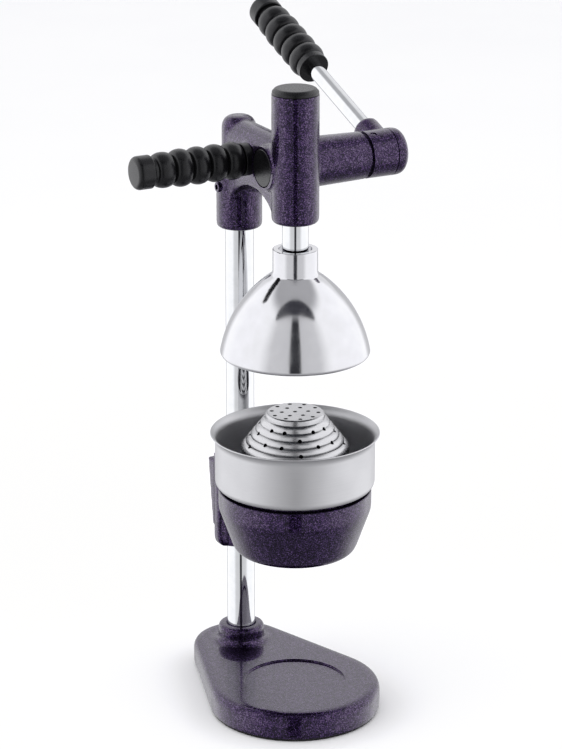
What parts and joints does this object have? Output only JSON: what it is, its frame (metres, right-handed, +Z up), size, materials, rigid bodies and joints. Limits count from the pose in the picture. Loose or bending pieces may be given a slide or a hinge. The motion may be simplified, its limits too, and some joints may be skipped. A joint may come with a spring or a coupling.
{
  "type": "hand juice press",
  "caption": "Column press for pomegranates: a lever and pinion lower a rack with a domed bell onto a stepped strainer in a steel bowl, held in a clamped cup above the glass.",
  "frame": {"origin": "on the table, under the press axis on which rack, bell, strainer, bowl and spout lie", "axes": "+X to the right, the lever's side; +Y to the rear, to the column; +Z up"},
  "size_m": [0.263, 0.3659, 0.6533],
  "materials": {
    "hammer_paint": "dark purple hammer finish paint on castings, glossy with a fine metallic speckle",
    "chrome_plate": "bright chrome plate",
    "polished_aluminium": "turned and polished",
    "stainless": "satin stainless sheet",
    "zinc_steel": "zinc plated steel",
    "bronze": "machined bearing bronze",
    "black_plastic": "moulded, semi gloss",
    "foot_rubber": "matt black rubber"
  },
  "bodies": {
    "frame": {"base": "hammer_paint", "foot_ring": "foot_rubber", "column": "chrome_plate", "column_plug": "zinc_steel", "column_bolt": "zinc_steel", "column_washer": "zinc_steel", "base_screw": "zinc_steel", "head": "hammer_paint", "head_screw": "zinc_steel", "lower_guide_bush": "bronze", "upper_guide_bush": "bronze", "top_cap": "black_plastic", "end_plug": "black_plastic", "left_shaft_bush": "bronze", "right_shaft_bush": "bronze", "side_grip_stud": "zinc_steel", "side_grip": "black_plastic"},
    "lever": {"pinion_shaft": "zinc_steel", "lever_hub": "hammer_paint", "hub_pin": "zinc_steel", "lever_arm": "chrome_plate", "lever_grip": "black_plastic"},
    "press": {"rack": "chrome_plate", "bell": "polished_aluminium", "bell_washer": "zinc_steel", "bell_screw": "zinc_steel"},
    "cup": {"holder": "hammer_paint", "clamp_cap": "hammer_paint", "clamp_bolts": "zinc_steel", "clamp_washers": "zinc_steel", "bowl": "stainless", "bowl_spout": "stainless", "strainer": "stainless"}
  },
  "joints": [
    {"name": "lever_pull", "type": "hinge", "parent": "frame", "child": "lever", "pos_m": [0, 0.022, 0.5465], "axis": [1, 0, 0], "range_deg": [0, 210]},
    {"name": "press_slide", "type": "slide", "parent": "frame", "child": "press", "axis": [0, 0, -1], "range_m": [0, 0.0587]},
    {"name": "cup_height", "type": "slide", "parent": "frame", "child": "cup", "axis": [0, 0, 1], "range_m": [-0.06, 0.045]}
  ],
  "couplings": [
    {"joint": "press_slide", "follows": "lever_pull", "m_per_rad": 0.016}
  ]
}
